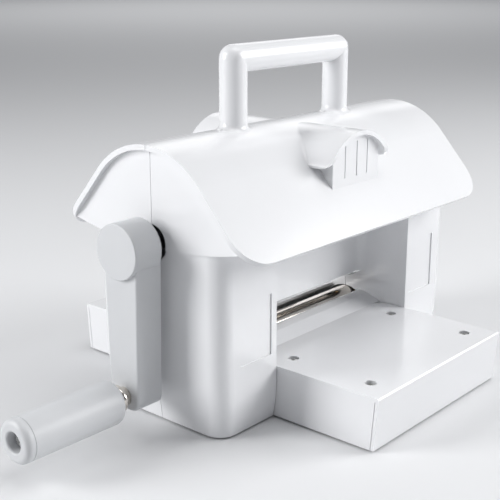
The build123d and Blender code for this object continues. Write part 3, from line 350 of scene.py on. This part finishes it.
def wrapped_grid(name, across, down, place):
    """A grid primitive laid on a closed skin, with its seam merged and its ends filled."""
    bpy.ops.object.select_all(action="DESELECT")
    bpy.ops.mesh.primitive_grid_add(x_subdivisions=across, y_subdivisions=down, size=1.0)
    piece = bpy.context.object
    piece.name = name
    for vertex in piece.data.vertices:
        vertex.co = place(vertex.co.x + 0.5, vertex.co.y + 0.5)
    bpy.ops.object.mode_set(mode="EDIT")
    bpy.ops.mesh.select_all(action="SELECT")
    bpy.ops.mesh.remove_doubles(threshold=MERGE_DISTANCE)
    bpy.ops.mesh.fill_holes(sides=0)
    bpy.ops.mesh.select_all(action="SELECT")
    bpy.ops.mesh.normals_make_consistent(inside=False)
    bpy.ops.object.mode_set(mode="OBJECT")
    return piece


def mirrored_copy(piece, name, scale):
    """Copy of a piece with its own mesh, mirrored in its vertices and turned right side out."""
    bpy.ops.object.select_all(action="DESELECT")
    piece.select_set(True)
    bpy.context.view_layer.objects.active = piece
    bpy.ops.object.duplicate()
    copy = bpy.context.object
    copy.name = name
    copy.scale = scale
    bpy.ops.object.transform_apply(location=False, rotation=False, scale=True)
    bpy.ops.object.mode_set(mode="EDIT")
    bpy.ops.mesh.select_all(action="SELECT")
    bpy.ops.mesh.normals_make_consistent(inside=False)
    bpy.ops.object.mode_set(mode="OBJECT")
    return copy


def joined(pieces, name):
    """Joins the pieces into the first one and smooths it."""
    bpy.ops.object.select_all(action="DESELECT")
    for piece in pieces:
        piece.select_set(True)
    bpy.context.view_layer.objects.active = pieces[0]
    bpy.ops.object.join()
    pieces[0].name = name
    bpy.ops.object.shade_smooth_by_angle(angle=SMOOTH_ANGLE)
    return pieces[0]


def on_frame(piece):
    """Lets a piece ride with the fixed body."""
    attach(piece, "frame")


# --- stage --------------------------------------------------------------------------------


def aimed(location, target):
    """Turn that points a lamp from its location at the target."""
    return (Vector(target) - Vector(location)).to_track_quat("-Z", "Y").to_euler()


def soft_box(name, location, target, width, height, power):
    """A rectangular lamp: its width and height in metres and its power in watts."""
    bpy.ops.object.light_add(type="AREA", location=location, rotation=aimed(location, target))
    lamp = bpy.context.object
    lamp.name = name
    lamp.data.shape = "RECTANGLE"
    lamp.data.size = width
    lamp.data.size_y = height
    lamp.data.energy = power


class CutterColours(bpy.types.PropertyGroup):
    """Colours of the finishes."""

    white_plastic: bpy.props.FloatVectorProperty(
        name="White plastic", description="Body mouldings", subtype="COLOR",
        size=3, default=(0.80, 0.805, 0.82), min=0.0, max=1.0)
    grey_plastic: bpy.props.FloatVectorProperty(
        name="Grey plastic", description="Crank arm, hub cap and grip", subtype="COLOR",
        size=3, default=(0.60, 0.61, 0.625), min=0.0, max=1.0)
    polished_steel: bpy.props.FloatVectorProperty(
        name="Polished steel", description="Rollers and grip spindle", subtype="COLOR",
        size=3, default=(0.72, 0.68, 0.63), min=0.0, max=1.0)
    frame_steel: bpy.props.FloatVectorProperty(
        name="Frame steel", description="Plated side frames and base plate", subtype="COLOR",
        size=3, default=(0.55, 0.56, 0.58), min=0.0, max=1.0)
    gear_steel: bpy.props.FloatVectorProperty(
        name="Gear steel", description="Gears, shafts and axles", subtype="COLOR",
        size=3, default=(0.42, 0.41, 0.40), min=0.0, max=1.0)
    ring_steel: bpy.props.FloatVectorProperty(
        name="Ring steel", description="Retaining rings and washers", subtype="COLOR",
        size=3, default=(0.12, 0.12, 0.13), min=0.0, max=1.0)
    screw_steel: bpy.props.FloatVectorProperty(
        name="Screw steel", description="Screws and nuts", subtype="COLOR",
        size=3, default=(0.66, 0.66, 0.65), min=0.0, max=1.0)
    bush_bronze: bpy.props.FloatVectorProperty(
        name="Bush bronze", description="Flanged bushes", subtype="COLOR",
        size=3, default=(0.52, 0.32, 0.14), min=0.0, max=1.0)
    mat_rubber: bpy.props.FloatVectorProperty(
        name="Mat rubber", description="Mat under the base", subtype="COLOR",
        size=3, default=(0.03, 0.03, 0.032), min=0.0, max=1.0)


class CutterFinishSizes(bpy.types.PropertyGroup):
    """Sizes of the small surface detail."""

    tool_texture: bpy.props.FloatProperty(
        name="Tool texture", description="Width of the white plastic's fine texture",
        default=0.0006, min=0.0001, max=0.005, subtype="DISTANCE", unit="LENGTH", precision=5)
    tool_texture_depth: bpy.props.FloatProperty(
        name="Tool texture depth", description="Depth of that texture",
        default=0.000004, min=0.0, max=0.001, subtype="DISTANCE", unit="LENGTH", precision=6)
    sink_depth: bpy.props.FloatProperty(
        name="Sink depth", description="Height of the mouldings' slow waves",
        default=0.00015, min=0.0, max=0.002, subtype="DISTANCE", unit="LENGTH", precision=5)
    grey_grain: bpy.props.FloatProperty(
        name="Grey grain", description="Width of the crank plastic's grain",
        default=0.0007, min=0.0001, max=0.005, subtype="DISTANCE", unit="LENGTH", precision=5)
    grey_grain_depth: bpy.props.FloatProperty(
        name="Grey grain depth", description="Depth of that grain",
        default=0.00002, min=0.0, max=0.001, subtype="DISTANCE", unit="LENGTH", precision=6)
    grinding_lines: bpy.props.FloatProperty(
        name="Grinding lines", description="Grinding lines for each metre of roller",
        default=4000.0, min=100.0, max=20000.0)
    grinding_depth: bpy.props.FloatProperty(
        name="Grinding depth", description="Depth of the grinding lines",
        default=0.000004, min=0.0, max=0.001, subtype="DISTANCE", unit="LENGTH", precision=6)


class CutterRoofSizes(bpy.types.PropertyGroup):
    """Shape of the roof and dormers that the soft blends follow."""

    crest_radius: bpy.props.FloatProperty(
        name="Crest radius", description="Radius of the roof's rounded ridge", default=0.0605,
        subtype="DISTANCE", unit="LENGTH", precision=4)
    crest_centre: bpy.props.FloatProperty(
        name="Crest centre", description="Height of that curve's centre", default=0.1272,
        subtype="DISTANCE", unit="LENGTH", precision=4)
    pitch: bpy.props.FloatProperty(
        name="Pitch", description="Slope of the roof", default=math.radians(48.3),
        subtype="ANGLE", unit="ROTATION")
    hood_radius: bpy.props.FloatProperty(
        name="Hood radius", description="Radius of the dormers' arched hoods", default=0.04,
        subtype="DISTANCE", unit="LENGTH", precision=4)
    hood_top: bpy.props.FloatProperty(
        name="Hood top", description="Height of the hoods' tops", default=0.1864,
        subtype="DISTANCE", unit="LENGTH", precision=4)
    blend_radius: bpy.props.FloatProperty(
        name="Blend radius", description="Radius of the soft hollow between hood and roof",
        default=0.011, min=0.002, max=0.03, subtype="DISTANCE", unit="LENGTH", precision=4)
    blend_start: bpy.props.FloatProperty(
        name="Blend start", description="Distance from the ridge line where the blend starts",
        default=0.0126, subtype="DISTANCE", unit="LENGTH", precision=4)
    blend_end: bpy.props.FloatProperty(
        name="Blend end", description="Distance from the ridge line where the hood leaves the roof",
        default=0.0465, subtype="DISTANCE", unit="LENGTH", precision=4)
    blend_fade: bpy.props.FloatProperty(
        name="Blend fade", description="Length over which the blend fades out at its low end",
        default=0.012, subtype="DISTANCE", unit="LENGTH", precision=4)
    blend_sunk: bpy.props.FloatProperty(
        name="Blend sunk", description="How deep the blend's underside sits in the plastic",
        default=0.001, subtype="DISTANCE", unit="LENGTH", precision=4)


class CutterStageSizes(bpy.types.PropertyGroup):
    """Floor, lights and camera."""

    floor_size: bpy.props.FloatProperty(
        name="Floor size", description="Width of the floor", default=24.0, min=1.0, max=60.0,
        subtype="DISTANCE", unit="LENGTH")
    floor_colour: bpy.props.FloatVectorProperty(
        name="Floor colour", description="Pale floor", subtype="COLOR",
        size=3, default=(0.72, 0.725, 0.735), min=0.0, max=1.0)
    room_light: bpy.props.FloatProperty(
        name="Room light", description="Strength of the even light of the room",
        default=0.22, min=0.0, max=5.0)
    camera_place: bpy.props.FloatVectorProperty(
        name="Camera place", description="Where the camera stands", subtype="TRANSLATION",
        unit="LENGTH", size=3, default=(-0.5572, -0.4493, 0.2977))
    camera_turn: bpy.props.FloatVectorProperty(
        name="Camera turn", description="How the camera is turned", subtype="EULER",
        unit="ROTATION", size=3,
        default=(math.radians(73.83), 0.0, math.radians(-49.03)))
    focal_length: bpy.props.FloatProperty(
        name="Focal length", description="Focal length in millimetres",
        default=72.46, min=10.0, max=300.0)


class CUTTER_OT_white_mouldings(bpy.types.Operator):
    """Give the white mouldings their glossy plastic"""

    bl_idname = "cutter.white_mouldings"
    bl_label = "White mouldings"

    def execute(self, context):
        finish_nodes("white_plastic", context)
        return {"FINISHED"}


class CUTTER_OT_grey_crank(bpy.types.Operator):
    """Give the crank arm, hub cap and grip their satin grey plastic"""

    bl_idname = "cutter.grey_crank"
    bl_label = "Grey crank"

    def execute(self, context):
        finish_nodes("grey_plastic", context)
        return {"FINISHED"}


class CUTTER_OT_rollers(bpy.types.Operator):
    """Polish the rollers and the grip's spindle"""

    bl_idname = "cutter.rollers"
    bl_label = "Polished rollers"

    def execute(self, context):
        finish_nodes("polished_steel", context)
        return {"FINISHED"}


class CUTTER_OT_running_gear(bpy.types.Operator):
    """Finish the steel frame, gears, rings, screws, bushes and mat"""

    bl_idname = "cutter.running_gear"
    bl_label = "Running gear"

    def execute(self, context):
        for slot in ("frame_steel", "gear_steel", "ring_steel", "screw_steel", "bush_bronze",
                     "mat_rubber"):
            finish_nodes(slot, context)
        return {"FINISHED"}


class CUTTER_OT_dormer_blends(bpy.types.Operator):
    """Add the soft hollows where the dormers' hoods grow out of the roof"""

    bl_idname = "cutter.dormer_blends"
    bl_label = "Dormer blends"

    def execute(self, context):
        roof = context.scene.cutter_roof
        plastic = bpy.data.materials["moulded_white_abs"]
        right = wrapped_grid("blend_right", 20, 36, lambda u, v: blend_point(u, v, roof))
        left = mirrored_copy(right, "blend_left", (-1.0, 1.0, 1.0))
        front = joined([right, left], "front_dormer_blend")
        front.data.materials.append(plastic)
        rear = mirrored_copy(front, "rear_dormer_blend", (1.0, -1.0, 1.0))
        for piece in (front, rear):
            on_frame(piece)
        return {"FINISHED"}


class CUTTER_OT_stage(bpy.types.Operator):
    """Add the floor, the studio lights and the camera"""

    bl_idname = "cutter.stage"
    bl_label = "Stage"

    def execute(self, context):
        sizes = context.scene.cutter_stage
        bpy.ops.object.select_all(action="DESELECT")
        bpy.ops.mesh.primitive_plane_add(size=sizes.floor_size, location=(0.0, 0.0, 0.0))
        floor = context.object
        floor.name = "studio_floor"
        paper = Finish("pale_paper", sizes.floor_colour, 0.8)
        paper.rough(paper.noise(400.0, 2.0), 0.7, 0.9)
        floor.data.materials.append(paper.material)
        middle = (0.0, 0.0, 0.12)
        soft_box("left_soft_box", (-1.4, 0.95, 0.75), middle, 0.7, 1.1, 26.0)
        soft_box("front_soft_box", (1.3, -1.3, 0.85), middle, 1.1, 1.0, 32.0)
        soft_box("top_soft_box", (0.1, -0.35, 1.7), middle, 1.4, 1.0, 11.0)
        soft_box("backdrop_soft_box", (4.2, 3.7, 2.5), (4.2, 3.7, 0.0), 4.0, 4.0, 60.0)
        world = bpy.data.worlds.new("studio_room")
        world.use_nodes = True
        background = world.node_tree.nodes["Background"]
        background.inputs["Color"].default_value = (0.93, 0.95, 1.0, 1.0)
        background.inputs["Strength"].default_value = sizes.room_light
        context.scene.world = world
        context.scene.view_settings.view_transform = "Standard"
        bpy.ops.object.camera_add(location=sizes.camera_place, rotation=sizes.camera_turn)
        camera = context.object
        camera.name = "studio_camera"
        camera.data.lens = sizes.focal_length
        camera.data.sensor_width = 36.0
        camera.data.clip_start = 0.01
        context.scene.camera = camera
        return {"FINISHED"}


class CUTTER_PT_panel(bpy.types.Panel):
    """Die cutter pieces, finishes and stage"""

    bl_label = "Die Cutter"
    bl_idname = "CUTTER_PT_panel"
    bl_space_type = "VIEW_3D"
    bl_region_type = "UI"
    bl_category = "Die Cutter"

    def draw(self, context):
        for group in GROUPS:
            values = getattr(context.scene, group)
            box = self.layout.box()
            for name in values.__annotations__:
                box.prop(values, name)
        for operator in STEPS:
            self.layout.operator(operator.bl_idname)


GROUPS = {
    "cutter_colours": CutterColours,
    "cutter_finish_sizes": CutterFinishSizes,
    "cutter_roof": CutterRoofSizes,
    "cutter_stage": CutterStageSizes,
}
STEPS = (
    CUTTER_OT_white_mouldings,
    CUTTER_OT_grey_crank,
    CUTTER_OT_rollers,
    CUTTER_OT_running_gear,
    CUTTER_OT_dormer_blends,
    CUTTER_OT_stage,
)


def register():
    for name, group in GROUPS.items():
        bpy.utils.register_class(group)
        setattr(bpy.types.Scene, name, bpy.props.PointerProperty(type=group))
    for operator in STEPS:
        bpy.utils.register_class(operator)
    bpy.utils.register_class(CUTTER_PT_panel)


def unregister():
    bpy.utils.unregister_class(CUTTER_PT_panel)
    for operator in reversed(STEPS):
        bpy.utils.unregister_class(operator)
    for name, group in GROUPS.items():
        delattr(bpy.types.Scene, name)
        bpy.utils.unregister_class(group)


def main():
    register()
    bpy.ops.cutter.white_mouldings()
    bpy.ops.cutter.grey_crank()
    bpy.ops.cutter.rollers()
    bpy.ops.cutter.running_gear()
    bpy.ops.cutter.dormer_blends()
    bpy.ops.cutter.stage()


if __name__ == "__main__":
    main()
